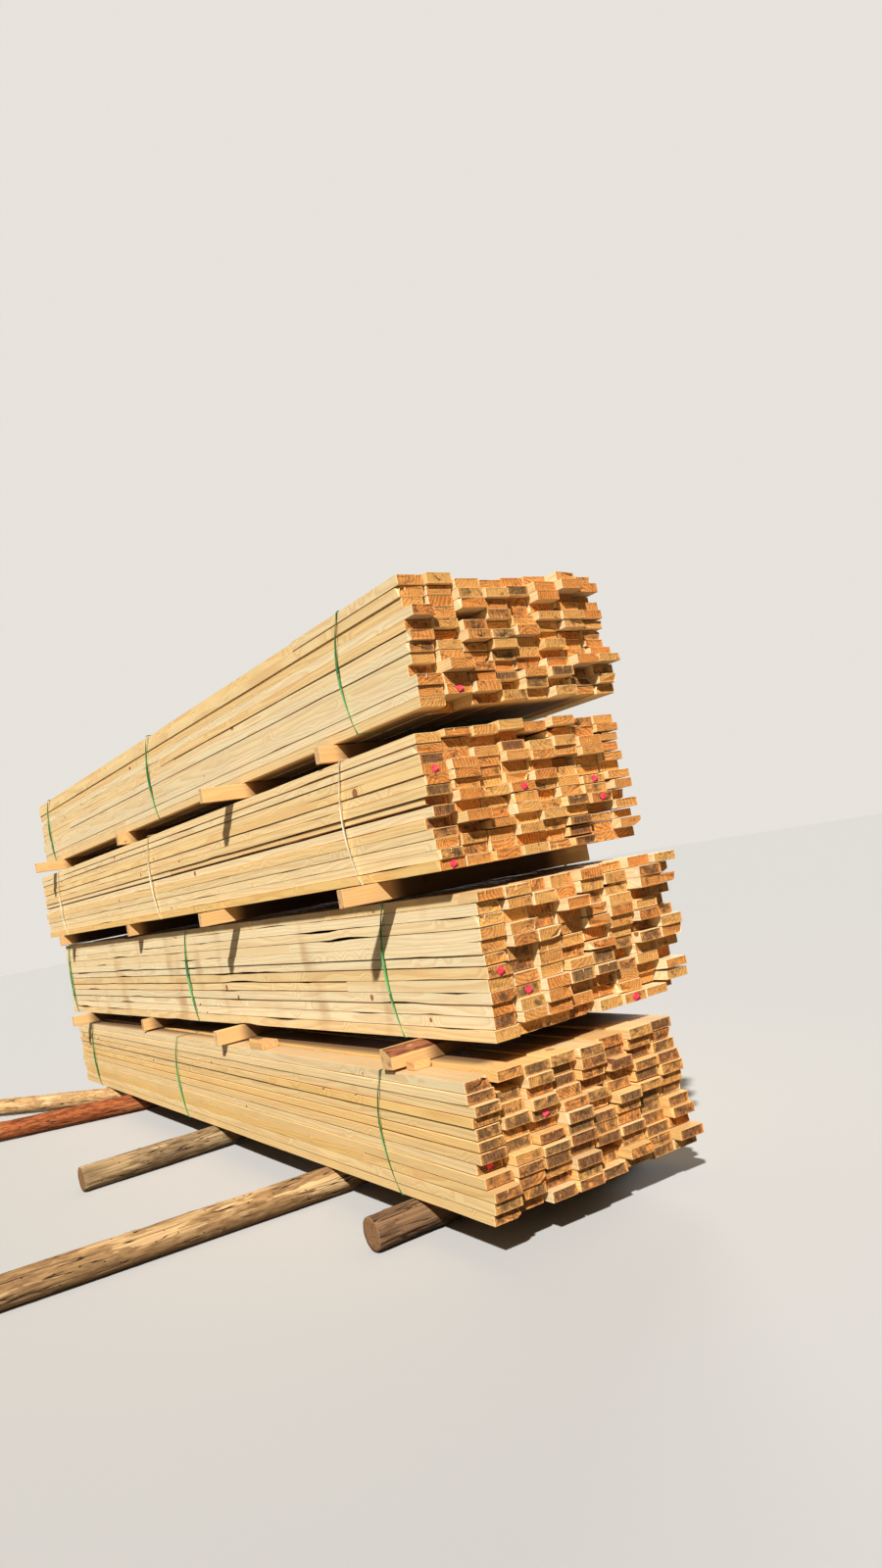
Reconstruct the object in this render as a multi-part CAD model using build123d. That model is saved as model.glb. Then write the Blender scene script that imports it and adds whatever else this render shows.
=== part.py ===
from build123d import *
from collections import namedtuple
import math
import os
import random

# Stack of sawn softwood boards: four strapped packs, one above another, parted by
# timber spacers and carried clear of the ground by round pole bearers.
# Frame: +X along the boards towards their tagged ends, +Y across the pack, +Z up,
# origin on the ground under the middle of the bottom pack. Lengths in millimetres.

# Boards
board_length = 5700.0
board_width = 114.0
columns_across = 8
column_gap = 2.0
bed_gap = 0.3
width_scatter = 4.0
thickness_scatter = 0.05
end_scatter = 30.0
edge_scatter_share = 0.43333
jut_share = 1.26667
jutting_board_share = 0.14

# Wane: long corners that keep the round of the log
log_radius = 140.0
waney_board_share = 0.07
wane_across_range = (16.0, 40.0)
wane_down_range = (8.0, 20.0)

# Straps
strap_width = 15.0
strap_thickness = 0.9
strap_clearance = 0.3

# Red tags on board ends
tag_thickness = 0.8
tag_share_of_board = 0.84
tag_clearance = 0.3

# Spacers and the poles under the stack
seat_gap = 0.3
spacer_height = 73.0
pole_diameter = 130.0

# One pack: its rows, board thickness, place over the ground, turn about the vertical,
# how far the upper boards lead the lower ones at the near end, how far each column's
# top lies below the highest one, the columns with one board more, its straps, and the
# boards (column, row from below) that carry a red tag.
Pack = namedtuple(
    "Pack",
    "name rows thickness shift_x shift_y turn lean tops fuller straps tagged seed",
)

packs = (
    Pack(
        name="bottom_pack", rows=12, thickness=38.0, shift_x=0.0, shift_y=0.0, turn=-1.84,
        lean=-34.0, tops=(9.0, 2.0, 12.0, 10.0, 12.0, 8.0, 0.0, 3.0), fuller=(),
        straps=(0.795, -0.088, -0.818), tagged=((1, 5), (3, 8)), seed=41,
    ),
    Pack(
        name="lower_middle_pack", rows=12, thickness=43.2, shift_x=-46.0, shift_y=81.0, turn=0.0,
        lean=44.0, tops=(10.0, 14.0, 12.0, 12.0, 9.0, 3.0, 0.0, 2.0), fuller=(6, 7, 8),
        straps=(0.789, 0.0, -0.940), tagged=((1, 6), (2, 4), (6, 1)), seed=42,
    ),
    Pack(
        name="upper_middle_pack", rows=13, thickness=37.4, shift_x=-79.0, shift_y=-2.0, turn=0.0,
        lean=-8.0, tops=(15.0, 6.0, 10.0, 0.0, 12.0, 5.0, 14.0, 8.0), fuller=(),
        straps=(0.807, -0.035, -0.800), tagged=((1, 10), (1, 1), (4, 7), (7, 7), (7, 5)),
        seed=43,
    ),
    Pack(
        name="top_pack", rows=12, thickness=39.9, shift_x=-114.0, shift_y=59.0, turn=0.0,
        lean=6.0, tops=(4.0, 0.0, 22.0, 24.0, 10.0, 2.0, 0.0, 3.0), fuller=(6, 7, 8),
        straps=(0.842, 0.0, -0.877), tagged=((2, 2),), seed=44,
    ),
)

# Boards cut short or set back at the near end: pack, column, row from below, setback
shortened_boards = {
    ("top_pack", 2, 1): 120.0,
    ("top_pack", 3, 9): 95.0,
    ("upper_middle_pack", 5, 12): 110.0,
    ("lower_middle_pack", 8, 1): 90.0,
    ("bottom_pack", 2, 11): 125.0,
    ("bottom_pack", 5, 3): 100.0,
}

# Waney boards seen on the near end: pack, column, row, side of the wane, up or down
waney_boards = {
    ("top_pack", 7, 4): (1, 1),
    ("lower_middle_pack", 5, 10): (-1, 1),
    ("lower_middle_pack", 1, 4): (1, -1),
    ("bottom_pack", 1, 1): (1, -1),
}

# One spacer: place along the pack as a share of its half length, reach beyond the
# pack's near and far sides, width, turn, and how much of its top corner is wane.
Spacer = namedtuple("Spacer", "name along front back width turn wane")

spacer_levels = (
    (
        Spacer("near", along=0.818, front=12.0, back=60.0, width=76.0, turn=0.0, wane=0.38),
        Spacer("near_middle", along=0.196, front=50.0, back=90.0, width=40.0, turn=1.5, wane=0.0),
        Spacer("far_middle", along=-0.323, front=8.0, back=70.0, width=42.0, turn=-1.0, wane=0.0),
        Spacer("far", along=-0.842, front=125.0, back=40.0, width=40.0, turn=0.0, wane=0.0),
    ),
    (
        Spacer("near", along=0.811, front=150.0, back=40.0, width=38.0, turn=0.8, wane=0.0),
        Spacer("near_middle", along=0.271, front=117.0, back=30.0, width=38.0, turn=-0.6, wane=0.0),
        Spacer("far_middle", along=-0.292, front=4.0, back=60.0, width=42.0, turn=0.0, wane=0.0),
        Spacer("far", along=-0.888, front=20.0, back=40.0, width=38.0, turn=0.0, wane=0.0),
    ),
    (
        Spacer("near", along=0.724, front=16.0, back=20.0, width=38.0, turn=1.0, wane=0.0),
        Spacer("near_middle", along=0.397, front=150.0, back=50.0, width=38.0, turn=-0.8, wane=0.0),
        Spacer("far_middle", along=-0.266, front=4.0, back=45.0, width=40.0, turn=0.0, wane=0.0),
        Spacer("far", along=-0.850, front=140.0, back=60.0, width=38.0, turn=0.0, wane=0.0),
    ),
)
level_names = ("lower", "middle", "upper")

# Two off-cuts that lie on the bottom pack in front of its spacers: the gap to the
# spacer, and how far in from the near side of the pack the piece starts
Offcut = namedtuple("Offcut", "name beside gap inset length width height")
offcuts = (
    Offcut("offcut_by_near_spacer", 0, gap=9.0, inset=40.0, length=70.0, width=60.0, height=30.0),
    Offcut("offcut_by_second_spacer", 1, gap=300.0, inset=4.0, length=85.0, width=150.0, height=34.0),
)

# One pole: place along the pack where it crosses the near side, turn from straight
# across, reach beyond the near side and depth under the pack.
Pole = namedtuple("Pole", "name along turn front under")
poles = (
    Pole("near_short_pole", 0.815, 0.0, 180.0, 1030.0),
    Pole("near_long_pole", 0.552, -3.5, 1830.0, 1170.0),
    Pole("middle_pole", 0.044, 1.0, 700.0, 1100.0),
    Pole("far_red_pole", -0.582, -21.0, 1250.0, 1150.0),
    Pole("far_pale_pole", -0.772, -56.0, 1950.0, 450.0),
)

column_pitch = board_width + column_gap
pack_width = columns_across * column_pitch - column_gap
half_length = board_length / 2
half_width = pack_width / 2

Board = namedtuple("Board", "x y z length width thickness wane")


def pack_height(pack):
    return pack.rows * (pack.thickness + bed_gap)


def column_height(pack, column):
    return pack_height(pack) - pack.tops[column - 1]


def pack_base(level):
    """Height of a pack's underside above the ground."""
    base = pole_diameter + seat_gap
    for pack in packs[:level]:
        base += pack_height(pack) + spacer_height + 2 * seat_gap
    return base


def pack_drift(pack, along):
    """How far a turned pack's middle line lies across at a place along it."""
    return math.tan(math.radians(pack.turn)) * (along - pack.shift_x)


def pack_place(level):
    pack = packs[level]
    return Location((pack.shift_x, pack.shift_y, pack_base(level)), (0, 0, pack.turn))


def wane_of(pack, column, row, pick):
    """Side, up or down, reach across and reach down of a board's waney corner."""
    sides = waney_boards.get((pack.name, column, row))
    chance = pick.random()
    across = pick.uniform(*wane_across_range)
    down = pick.uniform(*wane_down_range)
    drawn = (pick.choice((-1, 1)), pick.choice((-1, 1)))
    if sides is None and chance > waney_board_share:
        return None
    return (sides or drawn) + (across, down)


def column_boards(pack, column):
    """The boards of one column, laid one on another from the pack's underside up."""
    pick = random.Random(pack.seed * columns_across + column)
    rows = pack.rows + (column in pack.fuller)
    shares = [1 + pick.uniform(-thickness_scatter, thickness_scatter) for _ in range(rows)]
    solid_height = column_height(pack, column) - (rows - 1) * bed_gap
    scatter_share = edge_scatter_share if column == 1 else 1.0
    boards = []
    z = 0.0
    for row in range(1, rows + 1):
        thickness = solid_height * shares[row - 1] / sum(shares)
        width = board_width - pick.uniform(0, width_scatter)
        slot = -half_width + (column - 1) * column_pitch
        y = slot + pick.uniform(0, board_width - width)
        jut = jut_share * pick.choice((-1, 1)) if pick.random() < jutting_board_share else 0.0
        ragged = pick.uniform(-scatter_share, scatter_share) + jut
        x = end_scatter * ragged + pack.lean * (row / rows - 0.5)
        cut = shortened_boards.get((pack.name, column, row), 0.0)
        wane = wane_of(pack, column, row, pick)
        boards.append(Board(x - cut / 2, y, z, board_length - cut, width, thickness, wane))
        z += thickness + bed_gap
    return boards


def waney_outline(width, height, side, up, across, down):
    """A rectangle with one corner cut to the round of the log."""
    def at(y, z):
        return (y if side > 0 else width - y, z if up > 0 else height - z)

    chord = math.hypot(across, down)
    bulge = log_radius - math.sqrt(log_radius**2 - (chord / 2) ** 2)
    middle_y = width - across / 2 + bulge * down / chord
    middle_z = height - down / 2 + bulge * across / chord
    sawn = Polyline(
        at(width - across, height), at(0, height), at(0, 0), at(width, 0), at(width, height - down)
    )
    bark = ThreePointArc(
        at(width - across, height), at(middle_y, middle_z), at(width, height - down)
    )
    return make_face(sawn + bark)


def board_solid(board):
    start = (board.x - board.length / 2, board.y, board.z)
    if board.wane is None:
        solid = Box(board.length, board.width, board.thickness, align=Align.MIN)
    else:
        outline = waney_outline(board.width, board.thickness, *board.wane)
        solid = extrude(Plane.YZ * outline, amount=board.length)
    return Pos(*start) * solid


def hull(points):
    """Corners of the tightest outline round a set of points, counter-clockwise."""
    def turn(a, b, c):
        return (b[0] - a[0]) * (c[1] - a[1]) - (b[1] - a[1]) * (c[0] - a[0])

    def chain(ordered):
        kept = []
        for point in ordered:
            while len(kept) > 1 and turn(kept[-2], kept[-1], point) <= 0:
                kept.pop()
            kept.append(point)
        return kept[:-1]

    ordered = sorted(set(points))
    return chain(ordered) + chain(ordered[::-1])


def strap_outline(boards):
    """The line that a tight strap takes round a pack, as a closed face."""
    corners = []
    for board in boards:
        for y in (board.y, board.y + board.width):
            for z in (board.z, board.z + board.thickness):
                corners.append((y, z))
    return make_face(Polyline(*hull(corners), close=True))


def strap_solids(pack, boards):
    around = strap_outline(boards)
    inner = offset(around, amount=strap_clearance, kind=Kind.INTERSECTION)
    outer = offset(around, amount=strap_clearance + strap_thickness, kind=Kind.INTERSECTION)
    ring = Plane.YZ * (outer - inner)
    loops = []
    for along in pack.straps:
        start = along * half_length - strap_width / 2
        loops.append(Pos(start, 0, 0) * extrude(ring, amount=strap_width))
    return loops


def tag_solid(board):
    """A small square tag, set corner up in the middle of a board's near end."""
    side = tag_share_of_board * board.thickness / math.sqrt(2)
    flat = (Align.MIN, Align.CENTER, Align.CENTER)
    tag = Rot(45, 0, 0) * Box(tag_thickness, side, side, align=flat)
    end = board.x + board.length / 2 + tag_clearance
    return Pos(end, board.y + board.width / 2, board.z + board.thickness / 2) * tag


def spacer_span(level, spacer):
    """Where a spacer starts and ends across, past the outer one of the two packs."""
    lower = packs[level]
    upper = packs[level + 1]
    along = spacer.along * half_length
    near = []
    far = []
    for pack in (lower, upper):
        middle = pack.shift_y + pack_drift(pack, along)
        near.append(middle - half_width)
        far.append(middle + half_width)
    return min(near) - spacer.front, max(far) + spacer.back


def spacer_solid(level, spacer):
    start, end = spacer_span(level, spacer)
    length = end - start
    if spacer.wane:
        across = 2 * spacer.wane * spacer.width
        down = spacer.wane * spacer_height
        outline = waney_outline(spacer.width, spacer_height, 1, 1, across, down)
        bar = Pos(-spacer.width / 2, length / 2, 0) * extrude(Plane.XZ * outline, amount=length)
    else:
        bar = Box(
            spacer.width, length, spacer_height, align=(Align.CENTER, Align.CENTER, Align.MIN)
        )
    z = pack_base(level) + pack_height(packs[level]) + seat_gap
    middle = (start + end) / 2
    return Pos(spacer.along * half_length, middle, z) * Rot(0, 0, spacer.turn) * bar


def offcut_solid(offcut):
    """A short piece lying on the near columns of the bottom pack, in front of a spacer."""
    spacer = spacer_levels[0][offcut.beside]
    pack = packs[0]
    along = spacer.along * half_length
    near, far = spacer_span(0, spacer)
    swing = abs(math.sin(math.radians(spacer.turn))) * (far - near) / 2
    x = along + spacer.width / 2 + swing + offcut.gap
    side = pack.shift_y + pack_drift(pack, x) - half_width
    covered = math.ceil((offcut.inset + offcut.length) / column_pitch)
    top = max(column_height(pack, column) for column in range(1, covered + 1))
    block = Box(offcut.width, offcut.length, offcut.height, align=Align.MIN)
    return Pos(x, side + offcut.inset, pack_base(0) + top + bed_gap) * block


def pole_solid(pole):
    """A round pole lying on the ground, sawn square at both ends."""
    pack = packs[0]
    along = pole.along * half_length
    side = pack.shift_y + pack_drift(pack, along) - half_width
    radius = pole_diameter / 2
    standing = (Align.CENTER, Align.CENTER, Align.MIN)
    trunk = Pos(0, 0, -pole.under) * Cylinder(radius, pole.under + pole.front, align=standing)
    return Pos(along, side, radius) * Rot(0, 0, pole.turn) * Rot(90, 0, 0) * trunk


def write(name, solids):
    shape = solids[0] if len(solids) == 1 else Compound(children=list(solids))
    export_step(shape, os.path.join("parts", name + ".step"))


os.makedirs("parts", exist_ok=True)

for level, pack in enumerate(packs):
    place = pack_place(level)
    columns = {c: column_boards(pack, c) for c in range(1, columns_across + 1)}
    for column, boards in columns.items():
        write(
            f"{pack.name}_column_{column}",
            [place * board_solid(board) for board in boards],
        )
    all_boards = [board for boards in columns.values() for board in boards]
    write(f"{pack.name}_straps", [place * loop for loop in strap_solids(pack, all_boards)])
    tagged = [columns[column][row - 1] for column, row in pack.tagged]
    write(f"{pack.name}_red_tags", [place * tag_solid(board) for board in tagged])

for level, spacers in enumerate(spacer_levels):
    for spacer in spacers:
        write(f"{level_names[level]}_{spacer.name}_spacer", [spacer_solid(level, spacer)])

for offcut in offcuts:
    write(offcut.name, [offcut_solid(offcut)])

for pole in poles:
    write(pole.name, [pole_solid(pole)])
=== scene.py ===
# %% [markdown]
# # A stack of lumber
# Four packs of sawn pine lie one above another. Straps hold each pack together, short
# timbers keep the packs apart, and round poles keep the lowest one off the ground.
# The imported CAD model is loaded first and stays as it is: it says where each board lies.

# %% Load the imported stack
import math
import bpy
import numpy as np
from mathutils import Matrix, Vector


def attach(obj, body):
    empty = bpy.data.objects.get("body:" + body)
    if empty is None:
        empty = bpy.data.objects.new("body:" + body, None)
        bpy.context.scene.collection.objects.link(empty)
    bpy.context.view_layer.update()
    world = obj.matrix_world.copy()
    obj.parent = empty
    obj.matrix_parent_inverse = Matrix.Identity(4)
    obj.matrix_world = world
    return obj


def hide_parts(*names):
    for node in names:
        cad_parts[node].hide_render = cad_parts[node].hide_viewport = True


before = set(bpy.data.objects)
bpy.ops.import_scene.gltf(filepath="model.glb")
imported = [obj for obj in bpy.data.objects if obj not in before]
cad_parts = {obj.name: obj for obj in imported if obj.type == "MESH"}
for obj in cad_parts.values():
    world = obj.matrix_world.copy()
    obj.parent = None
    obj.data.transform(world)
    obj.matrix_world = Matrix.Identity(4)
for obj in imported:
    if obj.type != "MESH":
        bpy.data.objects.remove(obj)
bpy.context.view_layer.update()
packs = ("bottom_pack", "lower_middle_pack", "upper_middle_pack", "top_pack")
print("pieces in the CAD model:", len(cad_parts))

# %% [markdown]
# ## Small helpers for nodes
# Wood needs a few dozen nodes, so a helper adds one node and fills its inputs in one line.
# Colours are written as they look on a screen and turned into the renderer's own scale.
# A finish is laid on like coats of paint. Each coat says where it shows, how strongly, and
# in which colour, so a finish can be read from top to bottom.

# %% Helpers for colours and nodes
def paint(red, green, blue):
    """A screen colour, 0 to 255, as the renderer's linear colour."""
    shares = [value / 255 for value in (red, green, blue)]
    linear = [s / 12.92 if s <= 0.04045 else ((s + 0.055) / 1.055) ** 2.4 for s in shares]
    return (*linear, 1.0)


def add(kind, inputs=None, tree=None, **settings):
    """Adds a node with its settings, sets or links its inputs, and returns its outputs.

    It goes into the tree given, or else into that of the first socket linked to it.
    """
    inputs = inputs or {}
    linked = {k: v for k, v in inputs.items() if isinstance(v, bpy.types.NodeSocket)}
    tree = tree or next(iter(linked.values())).id_data
    node = tree.nodes.new(kind)
    for name, value in settings.items():
        setattr(node, name, value)
    for key, value in inputs.items():
        if key in linked:
            tree.links.new(value, node.inputs[key])
        else:
            node.inputs[key].default_value = value
    return node.outputs


print("half bright on a screen is", round(paint(128, 128, 128)[0], 2), "for the renderer")

# %% Helpers for sums and vectors
def maths(operation, *values):
    inputs = dict(enumerate(values))
    return add("ShaderNodeMath", inputs, operation=operation)[0]


def times(first, second):
    return maths("MULTIPLY", first, second)


def times_plus(first, second, third):
    return maths("MULTIPLY_ADD", first, second, third)


def ramp(value, low, high):
    """Runs smoothly from 0 at low to 1 at high."""
    inputs = {"Value": value, "From Min": low, "From Max": high}
    return add("ShaderNodeMapRange", inputs, interpolation_type="SMOOTHSTEP")["Result"]


def scaled(vector, factors):
    return add("ShaderNodeVectorMath", {0: vector, 1: factors}, operation="MULTIPLY")[0]


def parts_of(vector):
    """The X, Y and Z of a vector."""
    return add("ShaderNodeSeparateXYZ", {0: vector})


def joined(x=0.0, y=0.0, z=0.0):
    """A vector from its X, Y and Z."""
    return add("ShaderNodeCombineXYZ", {0: x, 1: y, 2: z})[0]


print("sums and vectors ready")

# %% Helpers for patterns
def noise(vector, detail=2.0, rough=0.5):
    inputs = {"Vector": vector, "Scale": 1.0, "Detail": detail, "Roughness": rough}
    return add("ShaderNodeTexNoise", inputs)[0]


def streaks(vector, factors, detail=2.0, rough=0.5):
    """Noise that is finer along an axis with a large factor, and drawn out along a small one."""
    return noise(scaled(vector, factors), detail, rough)


def thin_lines(pattern, faint, full):
    """Lines where a noise crosses its middle: 0 at faint away from it, 1 at full and nearer."""
    away = maths("ABSOLUTE", maths("SUBTRACT", pattern, 0.5))
    return ramp(away, faint, full)


def stored(tree, name):
    """The vector that each point of a piece carries under this name."""
    return add("ShaderNodeAttribute", tree=tree, attribute_name=name)["Vector"]


def place_of(tree):
    return add("ShaderNodeTexCoord", tree=tree)["Object"]


print("patterns ready")

# %% Helpers for finishes
def tint(share, first, second, way="MIX"):
    """A colour between two, or one worked on the other. A tuple is a screen colour."""
    first, second = (paint(*c) if isinstance(c, tuple) else c for c in (first, second))
    inputs = {0: share, 6: first, 7: second}
    return add("ShaderNodeMix", inputs, data_type="RGBA", blend_type=way)[2]


def coated(colour, coats):
    """Lays coats over a colour. Each is where it shows, how strongly, and its own colour."""
    for where, strength, coat in coats:
        colour = tint(times(where, strength), colour, coat)
    return colour


def dimmed(colour, level):
    """The colour made darker or brighter all over."""
    grey = add("ShaderNodeCombineColor", {0: level, 1: level, 2: level})[0]
    return tint(1.0, colour, grey, "MULTIPLY")


def new_material(name):
    """An empty material with a shader that has little gloss."""
    material = bpy.data.materials.new(name)
    material.use_nodes = True
    shader = material.node_tree.nodes["Principled BSDF"]
    shader.inputs["Specular IOR Level"].default_value = 0.25
    return material, material.node_tree, shader


def finish_with(shader, colour, roughness, height, relief):
    """Gives the shader its colour, roughness and a fine relief in metres."""
    bump = add("ShaderNodeBump", {"Height": height, "Distance": relief, "Strength": 0.6})[0]
    for title, value in (("Base Color", colour), ("Normal", bump), ("Roughness", roughness)):
        shader.id_data.links.new(value, shader.inputs[title])


print("finishes ready")

# %% [markdown]
# ## Pine, as it grows
# A board is a slice of a log, so its figure is worked out in the log. Each point of a board
# carries its place from the pith in an attribute called grain. The distance from the pith
# gives the growth rings, which show as arcs on the ends and as long lines on the faces.
# Knots are spots that push the rings aside. The attribute look holds what differs from
# board to board: tone, warmth, weathering of the end and stain on the face. The attribute
# skin holds a number of chance for each board, and how near a point is to the board's
# sides and to its top or underside.

# %% The figure of pine
ring_width = 0.0108
ring_waver = 0.045
knots_per_metre = 7.0
knotty_share = 0.4
knot_push = 0.03


def knots_in(grain):
    """How far knots push the rings aside, the knots themselves, and their dark edges."""
    spots = add("ShaderNodeTexVoronoi", {"Vector": grain, "Scale": knots_per_metre})
    pick = add("ShaderNodeSeparateColor", {0: spots["Color"]})
    chosen = maths("GREATER_THAN", pick[0], 1 - knotty_share)
    size = times_plus(pick[1], 1.6, 0.9)
    reach = times(spots["Distance"], size)
    swirl = ramp(spots["Distance"], 0.55, 0.02)
    knot, edge = ramp(reach, 0.13, 0.09), ramp(reach, 0.16, 0.12)
    return (times(part, chosen) for part in (swirl, knot, edge))


def pine_figure(tree):
    """Late wood, fibre and knots of a board, from its place in the log."""
    grain = stored(tree, "grain")
    swirl, knot, knot_edge = knots_in(grain)
    skin = parts_of(stored(tree, "skin"))
    width = times_plus(maths("FRACT", skin[0]), 0.9, 0.6)
    across = scaled(grain, (0.0, 1.0, 1.0))
    radius = add("ShaderNodeVectorMath", {0: across}, operation="LENGTH")["Value"]
    pushed = times_plus(swirl, knot_push, radius)
    waver = streaks(grain, (1.3, 9.0, 9.0))
    waved = times_plus(waver, ring_waver, pushed)
    years = maths("DIVIDE", waved, times(width, ring_width))
    ring = maths("FRACT", years)
    side, height = (maths("ABSOLUTE", part) for part in skin[1:])
    return {
        "grain": grain,
        "across": across,
        "late": times(ramp(ring, 0.25, 0.85), ramp(ring, 1.0, 0.93)),
        "year": noise(maths("FLOOR", years), 0.0),
        "fibre": streaks(grain, (7.0, 240.0, 240.0), 3.0, 0.65),
        "knot": knot,
        "knot_edge": knot_edge,
        "height": height,
        "rim": maths("MAXIMUM", side, height),
        "chance": maths("FRACT", times(skin[0], 7.31)),
    }


def look_of(tree):
    """What differs from board to board: tone, warmth, weathering and stain."""
    look = add("ShaderNodeAttribute", tree=tree, attribute_name="look")
    return (*add("ShaderNodeSeparateColor", {0: look["Color"]})[:3], look["Alpha"])


print("growth rings:", round(ring_width * 1000, 1), "mm wide")

# %% [markdown]
# ## Sawn faces and sawn ends
# The long faces are smooth and pale, with the rings drawn out to lines and a faint rub of
# the saw. Their tops and undersides are toned darker, partly dust and partly painted shade,
# and deep inside the stack they get a dark painted shade; where boards meet, the edges of
# the side faces carry painted shade with some dust. The ends are rough: torn fibres, drying
# cracks that run out from the pith, and grey smudges where the weather got in, but not at
# the rim, which carries a painted highlight. So faces and ends share the figure of the log
# and get coats of their own.

# %% The sawn faces
top_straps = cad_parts["top_pack_straps"]
top_pack_foot = min((top_straps.matrix_world @ v.co).z for v in top_straps.data.vertices)
inner_shade_edge = 0.03
inner_shade_ends = (2.74, 2.62)
inner_shade_sides = (0.42, 0.34)


def painted_inner_shade(tree):
    """1 well inside the stack and under the top pack, where a dark shade is painted on the flat
    faces.
    """
    inside = add("ShaderNodeVectorMath", {0: place_of(tree)}, operation="ABSOLUTE")
    x, y, z = parts_of(inside[0])
    middle = times(ramp(x, *inner_shade_ends), ramp(y, *inner_shade_sides))
    return times(middle, ramp(z, top_pack_foot + inner_shade_edge, top_pack_foot))


def pine_face(name, pale, golden, late_pale, late_golden, lying_from):
    """The sawn faces. A point of skin height lying_from or more is on the top or underside."""
    material, tree, shader = new_material(name)
    figure = pine_figure(tree)
    grain, fibre, height = figure["grain"], figure["fibre"], figure["height"]
    tone, warmth, _, stain = look_of(tree)
    late = tint(warmth, late_pale, late_golden)
    damp = ramp(streaks(place_of(tree), (4.5, 4.5, 1.6), 1.5), 0.56, 0.78)
    joint_dust_and_shade = times(ramp(height, 0.86, 0.98), ramp(figure["chance"], 0.4, 0.9))
    lying = ramp(height, lying_from, lying_from + 0.01)
    colour = coated(tint(warmth, pale, golden), [
        (figure["late"], 0.46, late),
        (ramp(fibre, 0.5, 0.75), 0.45, late),
        (figure["knot_edge"], 1.0, (126, 78, 42)),
        (figure["knot"], 1.0, (172, 106, 58)),
        (damp, stain, (190, 138, 86)),
        # painted shade with some dust: side faces darker near the edges where boards meet
        (joint_dust_and_shade, 0.35, (150, 100, 58)),
        # partly dust, partly painted shade: tops and undersides toned darker and browner, so lit
        # tops don't glare
        (lying, 0.3, (228, 180, 120)),
        # painted shade: flat faces well inside the stack turned dark brown
        (times(painted_inner_shade(tree), lying), 0.85, (94, 63, 40)),
    ])
    patches = streaks(grain, (2.2, 14.0, 14.0), 3.0)
    level = times_plus(patches, 0.22, maths("ADD", tone, -0.11))
    saw = streaks(grain, (420.0, 6.0, 6.0), 1.0)
    rubbed = times_plus(saw, 0.5, fibre)
    rough = ramp(fibre, -0.8, 0.9)
    finish_with(shader, dimmed(colour, level), rough, rubbed, 0.0012)
    return material


board_face = pine_face(
    "sawn_pine_face", (250, 230, 183), (249, 206, 129),
    (232, 184, 124), (220, 158, 84), 0.985,
)
# lying_from -1 counts every face of a spacer as top or underside, so the painted shade reaches all
# of it
spacer_face = pine_face(
    "spacer_face", (246, 200, 134), (236, 182, 112),
    (222, 166, 98), (204, 142, 78), -1.0,
)
print("face finishes:", board_face.name, "and", spacer_face.name)

# %% The sawn ends
def star_cracks(figure):
    """Thin lines that run out from the pith, where the end has dried too fast."""
    outwards = add("ShaderNodeVectorMath", {0: figure["across"]}, operation="NORMALIZE")
    fan = scaled(outwards[0], (4.2, 4.2, 4.2))
    bent = scaled(figure["grain"], (0.7, 5.0, 5.0))
    rays = add("ShaderNodeVectorMath", {0: fan, 1: bent})[0]
    return thin_lines(noise(rays, 1.0), 0.012, 0.003)


def pine_end(name, pale, orange, late_colour, weathered):
    """The cross-cut ends: rings, torn fibres, dirt, a painted highlight along the rim and drying
    cracks.
    """
    material, tree, shader = new_material(name)
    figure = pine_figure(tree)
    grain, chance, rim = figure["grain"], figure["chance"], figure["rim"]
    tone, _, weather, _ = look_of(tree)
    rings = times(figure["late"], times_plus(chance, 0.35, 0.3))
    rings = times_plus(figure["year"], 0.2, rings)
    torn = streaks(grain, (1.0, 150.0, 48.0), 4.0, 0.7)
    speckle = streaks(grain, (1.0, 150.0, 150.0), 4.0, 0.75)
    smudge = streaks(grain, (1.0, 24.0, 30.0), 4.0, 0.65)
    worn = ramp(times_plus(weather, 0.46, smudge), 0.62, 0.9)
    grey = tint(ramp(torn, 0.4, 0.6), weathered, (60, 42, 30))
    crack = times(star_cracks(figure), ramp(smudge, 0.5, 0.68))
    colour = coated(tint(chance, pale, orange), [
        (rings, 1.0, late_colour),
        (ramp(torn, 0.55, 0.7), 0.85, (104, 60, 30)),
        (ramp(torn, 0.45, 0.3), 0.7, pale),
        (times(worn, ramp(rim, 1.0, 0.7)), 0.82, grey),
        # painted highlight: a light band along the rim of the end
        (ramp(rim, 0.9, 0.99), 0.45, (242, 210, 150)),
        (crack, 1.0, (52, 30, 17)),
    ])
    level = times_plus(chance, 0.12, maths("ADD", tone, -0.06))
    height = maths("SUBTRACT", maths("ADD", speckle, torn), times(crack, 2.0))
    rough = ramp(speckle, -1.0, 0.8)
    finish_with(shader, dimmed(colour, level), rough, height, 0.004)
    return material


board_end = pine_end(
    "sawn_pine_end", (249, 188, 104), (230, 144, 67),
    (158, 88, 36), (114, 82, 56),
)
spacer_end = pine_end(
    "spacer_end", (250, 212, 152), (236, 184, 118),
    (196, 132, 76), (128, 88, 56),
)
print("end finishes:", board_end.name, "and", spacer_end.name)

# %% Bark on a waney corner
def wane_bark(name):
    """The round corner where bark and the wood just under it still show."""
    material, tree, shader = new_material(name)
    grain = stored(tree, "grain")
    scales = streaks(grain, (14.0, 60.0, 60.0), 4.0, 0.6)
    bark = tint(ramp(scales, 0.35, 0.65), (92, 52, 32), (158, 98, 62))
    bare = ramp(streaks(grain, (3.0, 12.0, 12.0), 3.0), 0.6, 0.66)
    colour = tint(bare, bark, (205, 152, 98))
    finish_with(shader, colour, ramp(scales, -1.2, 0.7), scales, 0.004)
    return material


board_bark = wane_bark("wane_with_bark")
print("bark finish:", board_bark.name)

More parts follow.
